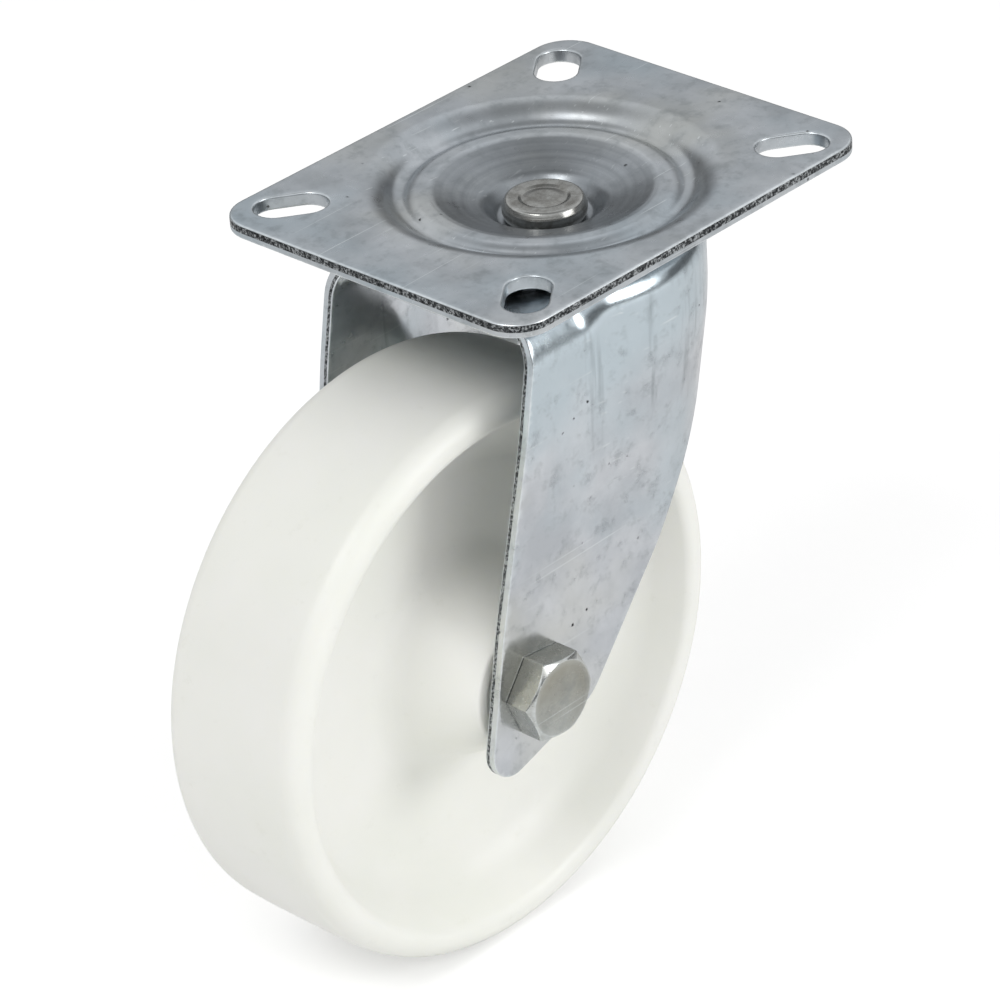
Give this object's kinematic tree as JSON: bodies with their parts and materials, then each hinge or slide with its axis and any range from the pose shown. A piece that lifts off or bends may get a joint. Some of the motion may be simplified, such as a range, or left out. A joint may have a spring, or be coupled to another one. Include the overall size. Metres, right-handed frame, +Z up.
{
  "type": "swivel castor",
  "caption": "Swivel castor with a slotted rectangular top plate, a pressed zinc-plated fork on two ball races and a solid white polyamide wheel on a bolted axle.",
  "frame": {"origin": "the swivel axis, on the top face of the plate", "axes": "+Z up out of the plate; +X ahead, the wheel trails towards -X; Y along the wheel's axle"},
  "size_m": [0.1515, 0.082, 0.1545],
  "materials": {
    "plate_zinc": "zinc plated, satin, blue passivated",
    "pin_steel": "bare steel, worn",
    "race_steel": "zinc plated",
    "yoke_zinc": "zinc plated, bright, blue passivated",
    "wheel_polyamide": "satin, natural white",
    "tube_steel": "turned",
    "bolt_zinc": "zinc plated, worn",
    "nut_zinc": "zinc plated",
    "insert_nylon": "blue nylon",
    "washer_steel": "zinc plated",
    "cage_plastic": "black plastic",
    "ball_steel": "hardened, polished",
    "roller_steel": "hardened, ground"
  },
  "bodies": {
    "plate": {"top_plate": "plate_zinc", "kingpin": "pin_steel", "lower_race": "race_steel"},
    "yoke": {"yoke": "yoke_zinc", "axle_bolt": "bolt_zinc", "axle_nut": "nut_zinc", "nut_insert": "insert_nylon", "axle_tube": "tube_steel", "thrust_washer_left": "washer_steel", "thrust_washer_right": "washer_steel"},
    "upper_ball_ring": {"upper_ball_1": "ball_steel", "upper_ball_2": "ball_steel", "upper_ball_3": "ball_steel", "upper_ball_4": "ball_steel", "upper_ball_5": "ball_steel", "upper_ball_6": "ball_steel", "upper_ball_7": "ball_steel", "upper_ball_8": "ball_steel", "upper_ball_9": "ball_steel", "upper_ball_10": "ball_steel", "upper_ball_11": "ball_steel", "upper_ball_12": "ball_steel", "upper_ball_13": "ball_steel", "upper_ball_14": "ball_steel", "upper_ball_15": "ball_steel", "upper_ball_16": "ball_steel", "upper_ball_17": "ball_steel", "upper_ball_18": "ball_steel", "upper_ball_19": "ball_steel", "upper_ball_20": "ball_steel"},
    "lower_ball_ring": {"lower_ball_1": "ball_steel", "lower_ball_2": "ball_steel", "lower_ball_3": "ball_steel", "lower_ball_4": "ball_steel", "lower_ball_5": "ball_steel", "lower_ball_6": "ball_steel", "lower_ball_7": "ball_steel", "lower_ball_8": "ball_steel", "lower_ball_9": "ball_steel", "lower_ball_10": "ball_steel", "lower_ball_11": "ball_steel", "lower_ball_12": "ball_steel", "lower_ball_13": "ball_steel", "lower_ball_14": "ball_steel", "lower_ball_15": "ball_steel", "lower_ball_16": "ball_steel", "lower_ball_17": "ball_steel", "lower_ball_18": "ball_steel"},
    "wheel": {"wheel": "wheel_polyamide"},
    "roller_set": {"roller_cage": "cage_plastic", "roller_1": "roller_steel", "roller_2": "roller_steel", "roller_3": "roller_steel", "roller_4": "roller_steel", "roller_5": "roller_steel", "roller_6": "roller_steel", "roller_7": "roller_steel", "roller_8": "roller_steel"}
  },
  "joints": [
    {"name": "swivel", "type": "hinge", "parent": "plate", "child": "yoke", "pos_m": [0, 0, -0.01], "axis": [0, 0, 1], "continuous": true},
    {"name": "wheel_spin", "type": "hinge", "parent": "yoke", "child": "wheel", "pos_m": [-0.037, 0, -0.092], "axis": [0, 1, 0], "continuous": true},
    {"name": "upper_balls_roll", "type": "hinge", "parent": "plate", "child": "upper_ball_ring", "pos_m": [0, 0, -0.01], "axis": [0, 0, 1], "continuous": true},
    {"name": "lower_balls_roll", "type": "hinge", "parent": "plate", "child": "lower_ball_ring", "pos_m": [0, 0, -0.01], "axis": [0, 0, 1], "continuous": true},
    {"name": "roller_set_roll", "type": "hinge", "parent": "yoke", "child": "roller_set", "pos_m": [-0.037, 0, -0.092], "axis": [0, 1, 0], "continuous": true}
  ],
  "couplings": [
    {"joint": "upper_balls_roll", "follows": "swivel", "ratio": 0.5},
    {"joint": "lower_balls_roll", "follows": "swivel", "ratio": 0.5},
    {"joint": "roller_set_roll", "follows": "wheel_spin", "ratio": 0.5882}
  ]
}
